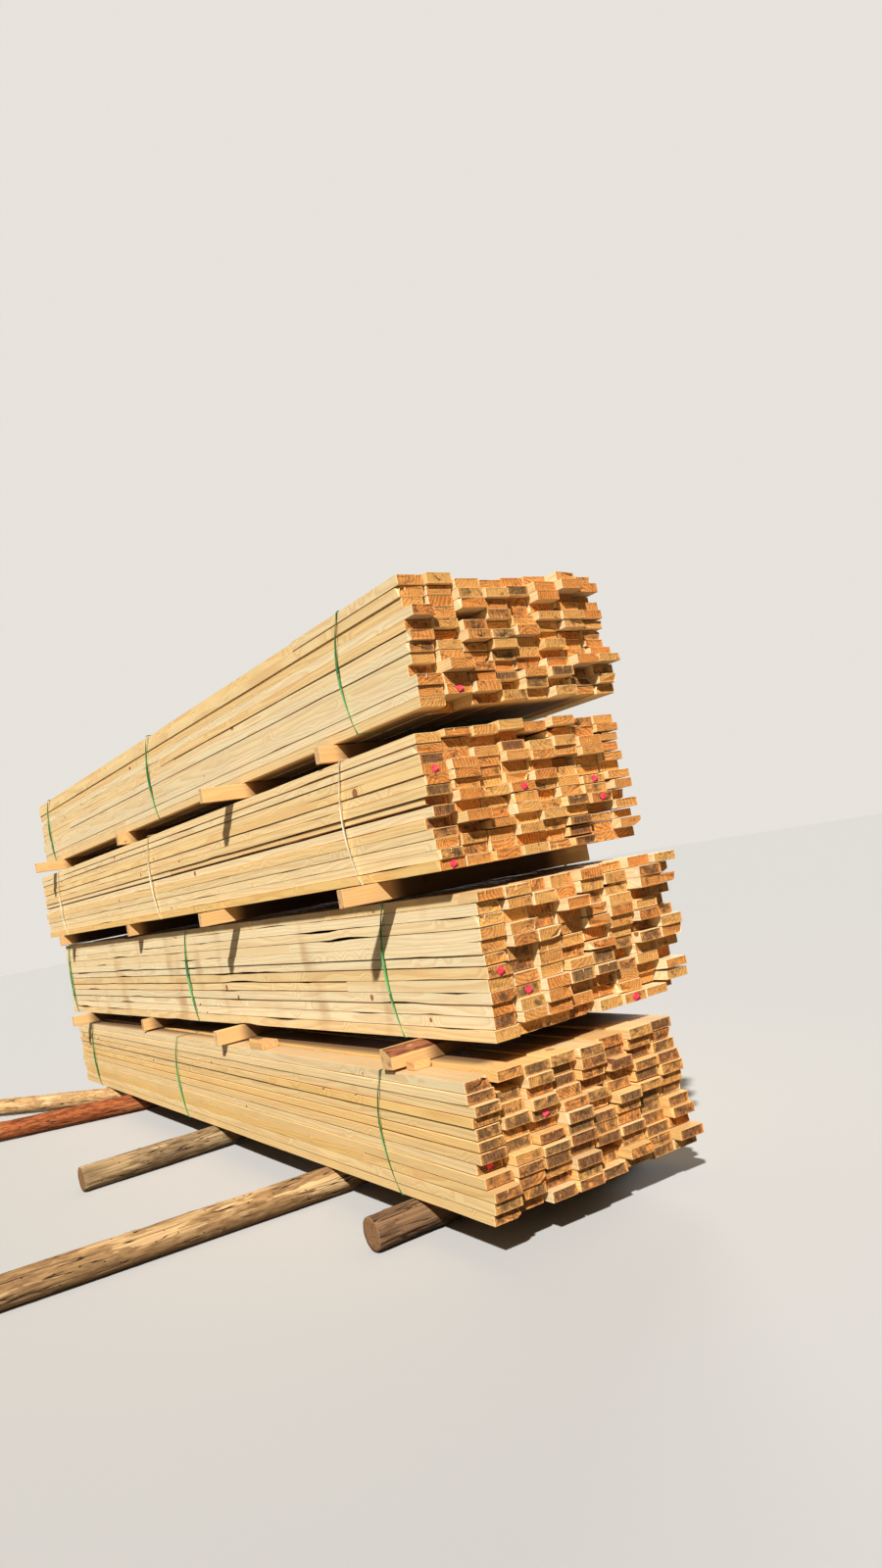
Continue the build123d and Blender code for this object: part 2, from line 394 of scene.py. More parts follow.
# %% [markdown]
# ## Reading the boards
# The CAD model stores a column of boards as one mesh of loose triangles. Its corners are
# gathered into separate solids, and each solid is turned straight so that its length, its
# place and the outline of its sawn section can be read. The boards built below start from
# these and never grow beyond them.

# %% Boards from the CAD model
def solids_of(node):
    """The corner points of each separate solid in a CAD node."""
    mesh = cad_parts[node].data
    points = np.array([vertex.co[:] for vertex in mesh.vertices])
    corners, merged = np.unique(np.round(points, 5), axis=0, return_inverse=True)
    merged = merged.reshape(-1)
    owner = list(range(len(corners)))

    def root(index):
        while owner[index] != index:
            index = owner[index]
        return index

    for face in mesh.polygons:
        first, second, third = (root(merged[index]) for index in face.vertices)
        owner[second] = first
        owner[root(third)] = root(first)
    groups = {}
    for index in range(len(corners)):
        groups.setdefault(root(index), []).append(index)
    return [corners[members] for members in groups.values()]


def heading_of(points):
    """Which way a long solid lies on the ground, as an angle from X."""
    flat = points[:, :2] - points[:, :2].mean(0)
    main = np.linalg.eigh(flat.T @ flat)[1][:, -1]
    if main[0] + main[1] < 0:
        main = -main
    return math.atan2(main[1], main[0])


def turned(points, angle):
    """Points turned about the vertical through the origin."""
    cos, sin = math.cos(angle), math.sin(angle)
    x, y = points[:, 0], points[:, 1]
    return np.column_stack([cos * x - sin * y, sin * x + cos * y, points[:, 2]])


def box_of(points):
    """The middle of what the points span, and half its size."""
    low, high = points.min(0), points.max(0)
    return (low + high) / 2, (high - low) / 2


def section_of(straight):
    """A board's two ends along X, and its outline across, counter-clockwise."""
    start, stop = straight[:, 0].min(), straight[:, 0].max()
    outline = straight[straight[:, 0] > (start + stop) / 2][:, 1:]
    around = outline - outline.mean(0)
    order = np.argsort(np.arctan2(around[:, 1], around[:, 0]))
    return start, stop, outline[order]


columns = range(1, 9)
boards_in = {}
for pack in packs:
    for column in columns:
        solids = sorted(solids_of(f"{pack}_column_{column}"), key=lambda p: p[:, 2].mean())
        boards_in[pack, column] = solids
print("boards read:", sum(len(boards) for boards in boards_in.values()))

# %% [markdown]
# ## One board
# A sawn board isn't a perfect block. Its arrises are worn, its end is torn and cut a little
# out of square, a corner may be broken off, and it may have split at the end as it dried.
# The outline is therefore eased at each corner, then repeated along the board as a row of
# rings joined by faces. Boards on the outside get many rings, so that they can be bent
# later, and boards inside the pack get only a few, because only their ends are seen. Each
# board is made a little slimmer than its place, so that neighbours don't line up.

# %% A worn outline
FACE, END, BARK = 0, 1, 2
round_slope = 0.06
sharp_turn = 0.5
long_edge = 0.06
worn_chance, worn_more = 0.14, 2.6


def slanted(edge):
    """True for an edge that follows the round of the log."""
    return min(abs(edge[0]), abs(edge[1])) > round_slope * np.hypot(*edge)


def worn_outline(section, draw, wear):
    """The outline with its arrises eased, and the kind of each edge."""
    outline, kinds = [], []
    for index, corner in enumerate(section):
        before = corner - section[index - 1]
        after = section[(index + 1) % len(section)] - corner
        run = np.hypot(*after)
        kind = BARK if slanted(after) else FACE
        before, after = before / np.hypot(*before), after / run
        if abs(before[0] * after[1] - before[1] * after[0]) > sharp_turn:
            ease = wear * (worn_more if draw.random() < worn_chance else 1.0)
            outline.append(corner - before * draw.uniform(0.4, 1.0) * ease)
            outline.append(corner + after * draw.uniform(0.4, 1.0) * ease)
            kinds += [FACE, kind]
        else:
            outline.append(corner)
            kinds.append(kind)
        if run > long_edge and kind == FACE:
            outline.append(corner + after * run * draw.uniform(0.25, 0.75))
            kinds.append(kind)
    return np.array(outline), kinds


print("outline of the first board:", len(section_of(boards_in["bottom_pack", 1][0])[2]), "corners")

# %% A split at the end
split_width = 0.0008


def split_in(outline, kinds, draw):
    """A drying split that opens one wide face at the end: its points and its depth."""
    flat = [
        i for i in range(len(outline))
        if kinds[i] == FACE and kinds[i - 1] == FACE
        and abs(outline[i - 1, 1] - outline[(i + 1) % len(outline), 1]) < 1e-4
    ]
    if not flat:
        return outline, kinds, None
    tip = flat[draw.integers(len(flat))]
    side = np.array([split_width, 0.0])
    if outline[(tip + 1) % len(outline), 0] < outline[tip, 0]:
        side = -side
    points = np.insert(outline, [tip, tip + 1], [outline[tip] - side, outline[tip] + side], axis=0)
    middle, half = box_of(outline)
    inward = 1.0 if outline[tip, 1] < middle[1] else -1.0
    kinds = kinds[:tip] + [FACE, FACE] + kinds[tip:]
    depth = inward * 2 * half[1] * draw.uniform(0.3, 0.75)
    return points, kinds, (tip + 1, depth, side * draw.uniform(0.6, 2.4))


print("a split opens by", round(split_width * 2000, 1), "mm or more")

# %% Rings along a board
cap_length, end_length = 0.0025, 0.025
slim_chance, slim, hardly_slim = 0.25, 0.0040, 0.0003


def ring_places(start, stop, step):
    """Where the rings stand: close together at both ends, then step apart."""
    count = max(2, round((stop - start) / step))
    inner = np.linspace(start + end_length, stop - end_length, count)
    return np.concatenate([[start, start + cap_length], inner, [stop - cap_length, stop]])


def shrunk(section, draw, loose):
    """The outline of a board sawn a little narrower and thinner than its place."""
    middle, half = box_of(section)
    thin = slim if draw.random() < slim_chance else hardly_slim
    less = np.array([draw.uniform(0.0, 1.0) ** 2 * loose, draw.uniform(0.2, 1.0) * thin])
    return middle + (section - middle) * (1 - less / half)


print("rings on an outer board:", len(ring_places(0.0, 5.7, 0.09)))

# %% One board as rings of points
split_chance, broken_chance, torn_chance = 0.3, 0.28, 0.18
deep_bite_chance, deep_bite = 0.25, 2.2
rounding, corner_reach, end_zone = 0.0012, 0.022, 0.003
torn_deep, torn_shallow = 0.0045, 0.0014
cap_size = np.array([0.86, 0.62])
touching = 1e-6


def board_parts(start, stop, section, draw, step, wear, loose):
    """Points, how near each is to a side or top, edge kinds, counts and the outline's box."""
    section = shrunk(section, draw, loose)
    outline, kinds = worn_outline(section, draw, wear * draw.uniform(0.3, 1.3))
    split = None
    if draw.random() < split_chance:
        outline, kinds, split = split_in(outline, kinds, draw)
    middle, half = box_of(outline)
    split_length = draw.uniform(0.06, 0.3)
    skew = draw.uniform(-0.02, 0.02, 2)
    broken = section[draw.integers(len(section))] if draw.random() < broken_chance else None
    bite = draw.uniform(0.003, 0.009) * (deep_bite if draw.random() < deep_bite_chance else 1.0)
    rings = []
    for x in ring_places(start, stop, step):
        ring = np.column_stack([np.full(len(outline), x), outline])
        left = stop - x
        if split and left < split_length:
            tip, depth, side = split
            share = 1 - left / split_length
            ring[tip, 2] += depth * share
            ring[tip - 1, 1:] -= side * share
            ring[tip + 1, 1:] += side * share
        if min(x - start, left) < touching:
            ring[:, 1:] += (middle - ring[:, 1:]) * (rounding / half)
        if left < end_zone:
            ring[:, 0] += (ring[:, 1:] - middle) @ skew - np.abs(skew) @ half
        if broken is not None and left < end_zone:
            gap = np.hypot(*(ring[:, 1:] - broken).T)
            near = np.clip(1 - gap / corner_reach, 0, 1)[:, None]
            ring[:, 1:] += (middle - broken) / np.hypot(*(middle - broken)) * bite * near
            ring[:, 0] -= (bite * near)[:, 0] * (left < touching)
        rings.append(ring)
    torn = torn_deep if draw.random() < torn_chance else torn_shallow
    for end, way in ((0, 1), (-1, -1)):
        cap = rings[end].copy()
        cap[:, 1:] = middle + (cap[:, 1:] - middle) * cap_size
        cap[:, 0] += way * draw.uniform(0.0, torn, len(cap))
        rings.insert(0 if way == 1 else len(rings), cap)
    points = np.concatenate(rings)
    near_skin = np.clip((points[:, 1:] - middle) / half, -1, 1)
    return points, near_skin, kinds, len(outline), len(rings), (middle, half)


print("ends torn deeply:", torn_chance, "of them, by up to", torn_deep * 1000, "mm")

# %% Faces of a board
def board_faces(around, rings, kinds, offset):
    """The four-sided faces along a board, the rim of each end and what it encloses."""
    faces, parts = [], []
    for ring in range(rings - 1):
        base = offset + ring * around
        for i in range(around):
            j = (i + 1) % around
            faces.append((base + i, base + j, base + around + j, base + around + i))
            parts.append(END if ring in (0, rings - 2) else kinds[i])
    faces.append(tuple(offset + i for i in reversed(range(around))))
    faces.append(tuple(offset + (rings - 1) * around + i for i in range(around)))
    return faces, parts + [END, END]


print("edge kinds: face", FACE, "end", END, "bark", BARK)

# %% [markdown]
# ## From boards to a piece
# One piece is a whole column of boards, as in the CAD model. Each board gets a pith of its
# own, near or far and a little out of line with the board, so its figure differs from its
# neighbours'. The values go into the attributes grain, look and skin. A few places in the
# outer columns hold two shorter boards that meet end to end, as the real stack does.

# %% Build a mesh from several boards
half_joint = 0.001
far_from_pith = (0.015, 0.13)
out_of_line = 0.012


def set_values(mesh, name, kind, values, field):
    """Gives every point of the mesh a value under this name."""
    attribute = mesh.attributes.new(name, kind, "POINT")
    attribute.data.foreach_set(field, np.asarray(values).astype(np.float32).ravel())


def lengths_of(start, stop, draw, butted):
    """A full length or, with the chance butted, two shorter ones that meet end to end."""
    if draw.random() >= butted:
        return [(start, stop)]
    meet = start + (stop - start) * draw.uniform(0.12, 0.88)
    return [(start, meet - half_joint), (meet + half_joint, stop)]


def lumber_mesh(name, solids, draw, step_of, look_of_board, wear=0.0013, loose=0.002, butted=0.0):
    """One mesh of several boards, with all that the finishes read."""
    all_points, all_faces, parts = [], [], []
    grain, look, skin = [], [], []
    boards = []
    for row, solid in enumerate(solids, 1):
        heading = heading_of(solid)
        start, stop, section = section_of(turned(solid, -heading))
        boards += [(row, heading, *ends, section) for ends in lengths_of(start, stop, draw, butted)]
    for row, heading, start, stop, section in boards:
        made = board_parts(start, stop, section, draw, step_of(row, len(solids)), wear, loose)
        points, near_skin, kinds, around, rings, (middle, half) = made
        offset = sum(len(p) for p in all_points)
        faces, face_parts = board_faces(around, rings, kinds, offset)
        all_faces += faces
        parts += face_parts
        angle, far = draw.uniform(0, 2 * math.pi), draw.uniform(*far_from_pith)
        pith = middle + far * np.array([math.cos(angle), math.sin(angle)])
        lean = draw.uniform(-out_of_line, out_of_line, 2)
        run = points[:, :1] - (start + stop) / 2
        grain.append(np.hstack([run + draw.uniform(0, 90), points[:, 1:] - pith - run * lean]))
        look.append(np.tile(look_of_board(row, draw), (len(points), 1)))
        skin.append(np.column_stack([np.full(len(points), draw.uniform(0, 50)), near_skin]))
        all_points.append(turned(points, heading))
    mesh = bpy.data.meshes.new(name)
    mesh.from_pydata(np.concatenate(all_points).tolist(), [], all_faces)
    set_values(mesh, "grain", "FLOAT_VECTOR", np.concatenate(grain), "vector")
    set_values(mesh, "look", "FLOAT_COLOR", np.concatenate(look), "color")
    set_values(mesh, "skin", "FLOAT_VECTOR", np.concatenate(skin), "vector")
    mesh.attributes.new("part", "INT", "FACE").data.foreach_set("value", parts)
    return mesh


print("attributes on each board: grain, look, skin, part")

# %% [markdown]
# ## Boards that aren't quite straight
# Drying bends a board a little, so the joints between boards open into long lens-shaped
# gaps. This follows a rule, so Geometry Nodes do it: a slow noise along the board lowers
# its top, lifts its underside and draws its sides in. Nothing moves outwards, so boards
# never cut into each other. The same tree hands out the finishes for faces, ends and bark.

# %% Helpers for Geometry Nodes
def new_tree(name, inputs):
    """A Geometry Nodes tree with named inputs and its group nodes."""
    tree = bpy.data.node_groups.new(name, "GeometryNodeTree")
    tree.interface.new_socket("Geometry", in_out="INPUT", socket_type="NodeSocketGeometry")
    for title, value in inputs.items():
        kind = "NodeSocketMaterial" if value is None else "NodeSocketFloat"
        kind = "NodeSocketInt" if isinstance(value, int) else kind
        socket = tree.interface.new_socket(title, in_out="INPUT", socket_type=kind)
        if value is not None:
            socket.default_value = value
    tree.interface.new_socket("Geometry", in_out="OUTPUT", socket_type="NodeSocketGeometry")
    source = tree.nodes.new("NodeGroupInput")
    target = tree.nodes.new("NodeGroupOutput")
    return tree, source.outputs, target.inputs[0]


def named(tree, name, kind):
    """What each point carries under this name."""
    inputs = {"Name": name}
    return add("GeometryNodeInputNamedAttribute", inputs, tree, data_type=kind)["Attribute"]


def placed(name, data):
    """An object with this data, put into the scene."""
    thing = bpy.data.objects.new(name, data)
    bpy.context.scene.collection.objects.link(thing)
    return thing


def grown(name, mesh, tree, values):
    """Runs a tree on a mesh and returns a plain piece without the modifier."""
    piece = placed(name, mesh)
    modifier = piece.modifiers.new(tree.name, "NODES")
    modifier.node_group = tree
    for item in tree.interface.items_tree:
        if item.in_out == "INPUT" and item.name in values:
            modifier[item.identifier] = values[item.name]
    graph = bpy.context.evaluated_depsgraph_get()
    made = bpy.data.meshes.new_from_object(
        piece.evaluated_get(graph), preserve_all_data_layers=True, depsgraph=graph
    )
    piece.modifiers.clear()
    piece.data = made
    bpy.data.meshes.remove(mesh)
    made.name = name
    return piece


def add_finishes(geometry, part, materials):
    """Gives each kind of face its own material."""
    for kind, material in enumerate(materials):
        match = add("FunctionNodeCompare", {2: part, 3: kind}, data_type="INT", operation="EQUAL")
        inputs = {"Geometry": geometry, "Selection": match[0], "Material": material}
        geometry = add("GeometryNodeSetMaterial", inputs)[0]
    return geometry


def made_real(geometry):
    return add("GeometryNodeRealizeInstances", {0: geometry})[0]


def hand_over(geometry, material, result):
    """Makes instances real, gives all faces one material and hands the mesh over."""
    inputs = {"Geometry": made_real(geometry), "Material": material}
    result.id_data.links.new(add("GeometryNodeSetMaterial", inputs)[0], result)


print("helpers for trees ready")

# %% Geometry Nodes tree for sawn boards
def sawn_boards_tree():
    inputs = {"Gap depth": 0.002, "Gap length": 0.5, "Side sweep": 0.002}
    inputs |= {"Face": None, "End": None, "Bark": None}
    tree, given, result = new_tree("sawn_boards", inputs)
    chance, side, height = parts_of(named(tree, "skin", "FLOAT_VECTOR"))
    place = parts_of(named(tree, "grain", "FLOAT_VECTOR"))
    along = maths("DIVIDE", place[0], given["Gap length"])
    level = joined(along, maths("SIGN", height), chance)
    slow = ramp(noise(level, 1.0), 0.58, 0.75)
    drop = times(times(slow, given["Gap depth"]), height)
    sway = noise(joined(along, chance, 7.0), 1.0)
    inset = times(times(sway, given["Side sweep"]), side)
    inwards = scaled(joined(0.0, inset, drop), (-1.0, -1.0, -1.0))
    bent = add("GeometryNodeSetPosition", {"Geometry": given["Geometry"], "Offset": inwards})[0]
    finishes = [given["Face"], given["End"], given["Bark"]]
    part = named(tree, "part", "INT")
    tree.links.new(add_finishes(made_real(bent), part, finishes), result)
    return tree


boards_tree = sawn_boards_tree()
print("tree:", boards_tree.name, "with", len(boards_tree.nodes), "nodes")

# %% [markdown]
# ## The four packs
# The packs aren't alike. The lower middle pack is pale and bent, with long gaps and dark
# runs of damp down its side. The bottom pack is yellower and closer, and its ends carry
# dark smudges. The ends of some boards have stood in the weather longer than the rest, and
# a table lists them. The two outer columns of a pack have the loosest boards.

# %% Dress every column of boards
tones = {  # tone, warmth, weathering, stain and gap depth
    "bottom_pack": (1.02, 0.82, 0.58, 0.10, 0.0022),
    "lower_middle_pack": (1.03, 0.14, 0.16, 0.70, 0.0085),
    "upper_middle_pack": (1.05, 0.46, 0.05, 0.20, 0.0036),
    "top_pack": (1.02, 0.35, 0.10, 0.12, 0.0038),
}
weathered_ends = {  # for each column, board counted from below: how weathered its end is
    "top_pack": {
        3: {6: 0.5, 8: 0.6, 11: 0.5}, 4: {1: 0.5, 2: 0.8, 3: 0.9, 5: 0.7}, 5: {2: 0.8, 11: 0.5},
        6: {2: 0.6, 3: 0.9}, 7: {2: 0.8, 3: 0.7}, 8: {3: 0.8},
    },
    "upper_middle_pack": {
        1: {5: 0.9, 6: 0.9, 7: 1.0, 8: 1.0, 11: 0.9}, 2: {4: 0.6}, 3: {9: 0.5}, 4: {11: 0.9},
        6: {1: 0.8, 2: 0.9, 3: 0.9, 5: 0.8},
    },
    "lower_middle_pack": {
        1: {2: 0.7, 4: 0.5}, 2: {4: 0.7, 8: 0.5}, 3: {9: 0.5}, 4: {4: 0.9}, 5: {4: 0.9, 5: 0.9},
        6: {6: 0.6, 11: 0.5}, 7: {6: 0.7}, 8: {10: 0.5},
    },
    "bottom_pack": {
        1: {4: 0.6, 5: 0.9, 6: 1.0}, 2: {6: 0.8, 10: 0.6}, 3: {4: 1.0, 5: 0.8, 11: 0.6},
        4: {4: 1.0, 6: 1.0}, 5: {1: 0.6, 4: 0.9}, 6: {4: 0.8}, 7: {5: 0.7},
    },
}
outer_step, edge_step, inner_step = 0.09, 0.5, 2.8
outer_boards = {"loose": 0.010, "butted": 0.3}
gap_length, side_sweep = 0.55, 0.003


def column_piece(pack, column, seed):
    tone, warmth, weather, stain, depth = tones[pack]
    outer = column in (columns[0], columns[-1])

    def step_of(row, rows):
        return outer_step if outer else edge_step if row in (1, rows) else inner_step

    def look_of_board(row, draw):
        dark = weathered_ends[pack].get(column, {}).get(row, 0.0)
        dark = max(dark, draw.beta(1.2, 4.0) + weather - 0.1)
        return (
            tone + draw.uniform(-0.09, 0.01),
            min(1.0, max(0.0, warmth + draw.normal(0, 0.28))),
            max(0.0, dark),
            stain * draw.uniform(0.2, 1.0),
        )

    name = f"{pack}_boards_{column}"
    draw = np.random.default_rng(seed)
    more = outer_boards if outer else {}
    mesh = lumber_mesh(name, boards_in[pack, column], draw, step_of, look_of_board, **more)
    values = {"Gap depth": depth, "Gap length": gap_length, "Side sweep": side_sweep}
    values |= {"Face": board_face, "End": board_end, "Bark": board_bark}
    piece = grown(name, mesh, boards_tree, values)
    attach(piece, "root")
    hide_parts(f"{pack}_column_{column}")
    return piece


shown_triangles = 0
for level, pack in enumerate(packs):
    for column in columns:
        piece = column_piece(pack, column, 100 * level + column)
        piece.data.calc_loop_triangles()
        shown_triangles += len(piece.data.loop_triangles)
print("triangles in the boards:", shown_triangles)

# %% [markdown]
# ## Spacers and off-cuts
# The timbers between the packs are sawn from the same wood, so they are built by the same
# steps, with more rings and rounder arrises. They are more orange than the boards and have
# hardly any weathering, and the nearest one on the lowest level keeps bark on its top.

# %% Dress the spacers and off-cuts
spacers = [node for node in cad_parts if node.endswith("_spacer") and "offcut" not in node]
offcuts = [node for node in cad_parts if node.startswith("offcut")]
first_seed, timber_tone, timber_step = 900, 0.97, 0.06


def timber_piece(node, seed):
    mesh = lumber_mesh(
        f"{node}_timber", solids_of(node), np.random.default_rng(seed),
        lambda row, rows: timber_step,
        lambda row, draw: (timber_tone, draw.uniform(0.2, 0.7), draw.uniform(0.0, 0.2), 0.1),
        wear=0.003,
    )
    values = {"Gap depth": 0.0008, "Gap length": 0.3, "Side sweep": 0.0015}
    values |= {"Face": spacer_face, "End": spacer_end, "Bark": board_bark}
    piece = grown(f"{node}_timber", mesh, boards_tree, values)
    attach(piece, "root")
    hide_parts(node)
    return piece


for seed, node in enumerate(sorted(spacers + offcuts), first_seed):
    timber_piece(node, seed)
print("spacers:", len(spacers), "off-cuts:", len(offcuts))

# %% [markdown]
# ## Straps
# Each strap is a flat woven plastic band drawn round a pack. On the sides it isn't quite
# tight: it bows to one side and twists, so it looks wide in one place and thin in another.
# The pale ones have turned less and show more of their edge. The band follows a path, so a
# Geometry Nodes tree sweeps a flat outline along a closed line, with the bow and the twist
# as inputs. The line is read from the CAD strap.

# %% The line of a strap
def turn(first, second, third):
    """Above 0 where the way from the first point over the second to the third bends left."""
    run, rise = second - first, third - first
    return run[0] * rise[1] - run[1] * rise[0]


def hull_of(ring):
    """The corners that a band drawn tight round these points would touch."""
    middle, _ = box_of(ring)
    order = np.argsort(np.arctan2(*(ring - middle).T[::-1]))
    corners = []
    for point in ring[order]:
        while len(corners) > 1 and turn(corners[-2], corners[-1], point) <= 1e-9:
            corners.pop()
        corners.append(point)
    return np.array(corners)


def strap_line(points, cut=0.002, step=0.03):
    """Points round a pack along the middle of the strap, and how slack it is there."""
    x = (points[:, 0].min() + points[:, 0].max()) / 2
    corners = hull_of(points[:, 1:])
    line = []
    for here, there in zip(corners, np.roll(corners, -1, axis=0)):
        run = there - here
        length = np.hypot(*run)
        if length < 2 * cut:
            continue
        count = max(2, round(length / step))
        line += [here + run * share for share in np.linspace(cut / length, 1 - cut / length, count)]
    line = np.array(line)
    height = (line[:, 1] - line[:, 1].min()) / np.ptp(line[:, 1])
    return x, line, np.sin(math.pi * np.clip(height, 0, 1)).tolist()


print("straps are slackest at half the height of a pack")

# %% Geometry Nodes tree for a strap
def own_place(tree):
    return add("GeometryNodeInputPosition", tree=tree)[0]


def band_tree():
    inputs = {"Width": 0.015, "Thickness": 0.0009, "Bow": 0.02, "Twist": 1.0, "Seed": 3.0}
    inputs |= {"Band": None}
    tree, given, result = new_tree("strap_band", inputs)
    slack = named(tree, "slack", "FLOAT")
    _, y, z = parts_of(own_place(tree))
    where = joined(given["Seed"], y, times(z, 0.7))
    wander = times_plus(noise(where, 0.0), -0.4, -0.8)
    aside = times(times(wander, slack), given["Bow"])
    roll = times(streaks(where, (2.0, 2.0, 1.6)), 2.0)
    roll = times(roll, maths("POWER", slack, 0.5))
    twist = times(roll, given["Twist"])
    half = times(given["Width"], 0.5)
    lift = times(maths("ABSOLUTE", maths("SINE", twist)), half)
    across = (1.0, 0.0, 0.0)
    inputs = {0: add("GeometryNodeInputTangent", tree=tree)[0], 1: across}
    outward = add("ShaderNodeVectorMath", inputs, operation="CROSS_PRODUCT")[0]
    off = add("ShaderNodeVectorMath", {0: outward, "Scale": lift}, operation="SCALE")
    shift = add("ShaderNodeVectorMath", {0: joined(aside), 1: off[0]}, operation="ADD")[0]
    curve = add("GeometryNodeMeshToCurve", {0: given["Geometry"]})[0]
    inputs = {"Geometry": curve, "Name": "roll", "Value": twist}
    curve = add("GeometryNodeStoreNamedAttribute", inputs)[0]
    curve = add("GeometryNodeSetPosition", {"Geometry": curve, "Offset": shift})[0]
    curve = add("GeometryNodeSetCurveNormal", {"Curve": curve, "Normal": across}, mode="FREE")[0]
    inputs = {"Curve": curve, "Tilt": named(tree, "roll", "FLOAT")}
    curve = add("GeometryNodeSetCurveTilt", inputs)[0]
    inputs = {"Width": given["Width"], "Height": given["Thickness"]}
    outline = add("GeometryNodeCurvePrimitiveQuadrilateral", inputs)[0]
    band = add("GeometryNodeCurveToMesh", {"Curve": curve, "Profile Curve": outline})[0]
    hand_over(band, given["Band"], result)
    return tree


strap_tree = band_tree()
print("tree:", strap_tree.name, "with", len(strap_tree.nodes), "nodes")

# %% Strap finish and the twelve straps
def band_finish(name, dark, bright, gloss):
    """Plastic band: a fine cross-hatch, faded in places."""
    material, tree, shader = new_material(name)
    place = place_of(tree)
    fade = streaks(place, (4.0, 4.0, 7.0), 3.0, 0.6)
    colour = tint(ramp(fade, 0.42, 0.62), dark, bright)
    hatch = add("ShaderNodeTexChecker", {"Vector": place, "Scale": 420.0})["Fac"]
    dust = streaks(place, (60.0, 60.0, 60.0), 3.0)
    colour = tint(ramp(dust, 0.58, 0.85), colour, (196, 176, 138))
    rough = times_plus(dust, 0.35, gloss)
    finish_with(shader, colour, rough, hatch, 0.0003)
    return material


green_band = band_finish("green_strap", (40, 112, 62), (108, 180, 114), 0.3)
pale_band = band_finish("pale_strap", (208, 205, 180), (246, 242, 224), 0.4)
twists = dict.fromkeys(packs, 1.15) | {"upper_middle_pack": 0.82}
bow = 0.06


def straps_piece(pack, band, seed):
    node = f"{pack}_straps"
    loops = sorted(solids_of(node), key=lambda p: p[:, 0].mean())
    heading = heading_of(np.concatenate(boards_in[pack, 1]))
    points, edges, slack = [], [], []
    for loop in loops:
        x, line, loose = strap_line(turned(loop, -heading))
        first = len(points)
        points += [(x, y, z) for y, z in line]
        slack += loose
        count = len(line)
        edges += [(first + i, first + (i + 1) % count) for i in range(count)]
    mesh = bpy.data.meshes.new(node)
    mesh.from_pydata(turned(np.array(points), heading).tolist(), edges, [])
    set_values(mesh, "slack", "FLOAT", slack, "value")
    values = {"Bow": bow, "Twist": twists[pack], "Seed": float(seed), "Band": band}
    piece = grown(f"{pack}_strap_bands", mesh, strap_tree, values)
    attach(piece, "root")
    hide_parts(node)
    return piece


for seed, pack in enumerate(packs, 3):
    piece = straps_piece(pack, pale_band if pack == "upper_middle_pack" else green_band, seed)
    print(piece.name, "faces:", len(piece.data.polygons))

# %% [markdown]
# ## Red tags
# A small square of red plastic sheet is stapled to the end of some boards, turned by a
# third of a right angle. Half of it has curled away from the wood, and a painted shade
# darkens its lower rim. One sheet is made by a Geometry Nodes tree and placed on a point
# for each tag, because they repeat.

# %% Tags as instances on points
tag_turn = math.radians(30)
tag_lean = (math.radians(86), math.radians(90))
tag_sway = 0.02


def tags_tree():
    inputs = {"Side": 0.025, "Thickness": 0.0006, "Curl": 0.004, "Seed": 5, "Sheet": None}
    tree, given, result = new_tree("red_tags", inputs)
    side = given["Side"]
    inputs = {"Vertices X": 9, "Vertices Y": 9, "Size X": side, "Size Y": side}
    grid = add("GeometryNodeMeshGrid", inputs)[0]
    x, y, _ = parts_of(own_place(tree))
    share = maths("DIVIDE", maths("ADD", x, y), side)
    bent = maths("POWER", maths("MAXIMUM", share, 0.0), 1.5)
    # painted shade along one rim: 0 at the rim, 1 over the rest of the sheet
    rim = ramp(maths("DIVIDE", x, side), 0.4, 0.3)
    inputs = {"Geometry": grid, "Name": "outside_rim_shade", "Value": rim}
    marked = add("GeometryNodeStoreNamedAttribute", inputs)[0]
    inputs = {"Geometry": marked, "Offset": joined(z=times(bent, given["Curl"]))}
    sheet = add("GeometryNodeSetPosition", inputs)[0]
    inputs = {"Mesh": sheet, "Offset Scale": given["Thickness"], "Individual": False}
    thick = add("GeometryNodeExtrudeMesh", inputs, mode="FACES")[0]
    back = add("GeometryNodeFlipFaces", {0: sheet})[0]
    both = add("GeometryNodeJoinGeometry", {0: thick})[0]
    tree.links.new(back, both.node.inputs[0])
    closed = add("GeometryNodeMergeByDistance", {"Geometry": both, "Distance": 1e-5})[0]
    inputs = {"Geometry": closed, "Rotation": (0.0, 0.0, tag_turn)}
    tilted = add("GeometryNodeTransform", inputs)[0]
    cloud = add("GeometryNodeMeshToPoints", {0: given["Geometry"]})[0]
    low, high = zip((-tag_sway, tag_sway), tag_lean, (0.0, 0.0))
    inputs = {"Min": low, "Max": high, "Seed": given["Seed"]}
    lean = add("FunctionNodeRandomValue", inputs, data_type="FLOAT_VECTOR")[0]
    inputs = {"Points": cloud, "Instance": tilted, "Rotation": lean}
    many = add("GeometryNodeInstanceOnPoints", inputs)[0]
    hand_over(many, given["Sheet"], result)
    return tree


tag_tree = tags_tree()
print("tree:", tag_tree.name, "with", len(tag_tree.nodes), "nodes")

# %% Sheets on the board ends
def tag_finish():
    material, tree, shader = new_material("red_tag")
    fade = streaks(place_of(tree), (90.0, 90.0, 90.0), 3.0)
    bright = tint(ramp(fade, 0.35, 0.7), (232, 50, 78), (250, 96, 112))
    outside_rim_shade = add("ShaderNodeAttribute", tree=tree, attribute_name="outside_rim_shade")["Fac"]
    # the dark red is the painted shade along the lower rim
    colour = tint(outside_rim_shade, (150, 22, 36), bright)
    finish_with(shader, colour, times_plus(fade, 0.3, 0.3), fade, 0.0004)
    return material


